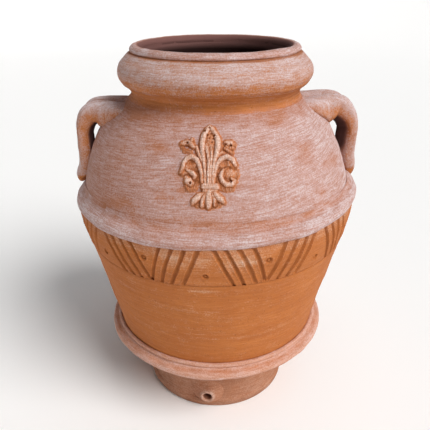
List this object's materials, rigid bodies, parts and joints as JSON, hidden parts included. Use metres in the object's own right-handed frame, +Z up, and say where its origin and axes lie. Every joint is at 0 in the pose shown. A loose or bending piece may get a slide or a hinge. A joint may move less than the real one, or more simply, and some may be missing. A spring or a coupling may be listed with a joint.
{
  "type": "terracotta storage jar",
  "caption": "Terracotta storage jar (orcio) on a round foot, with rolled rim, strap handles, incised band, lily in relief and a drain spout.",
  "frame": {"origin": "the jar's axis at the resting plane of the foot", "axes": "+Z up along the jar's axis; the front, with the lily and the drain spout, faces -Y; the handles lie along +X and -X"},
  "size_m": [0.532, 0.5278, 0.7],
  "materials": {
    "limewashed_terracotta": "matte, brushed with thin lime wash",
    "bare_terracotta": "matte, bare fired clay",
    "collar_terracotta": "matte, slightly dusty",
    "foot_terracotta": "matte, browner and rough"
  },
  "bodies": {
    "root": {"foot_slab": "foot_terracotta", "foot_wall": "foot_terracotta", "drain_spout": "foot_terracotta", "body_base": "bare_terracotta", "lower_collar": "collar_terracotta", "collar_bead": "collar_terracotta", "lower_wall": "bare_terracotta", "belt": "limewashed_terracotta", "shoulder": "limewashed_terracotta", "neck": "limewashed_terracotta", "rim_roll": "limewashed_terracotta", "lip": "limewashed_terracotta", "handle_left": "limewashed_terracotta", "handle_right": "limewashed_terracotta", "lily_centre_petal": "limewashed_terracotta", "lily_left_petal": "limewashed_terracotta", "lily_right_petal": "limewashed_terracotta", "lily_left_stamen": "limewashed_terracotta", "lily_right_stamen": "limewashed_terracotta", "lily_band": "limewashed_terracotta", "lily_tail": "limewashed_terracotta"}
  },
  "joints": []
}
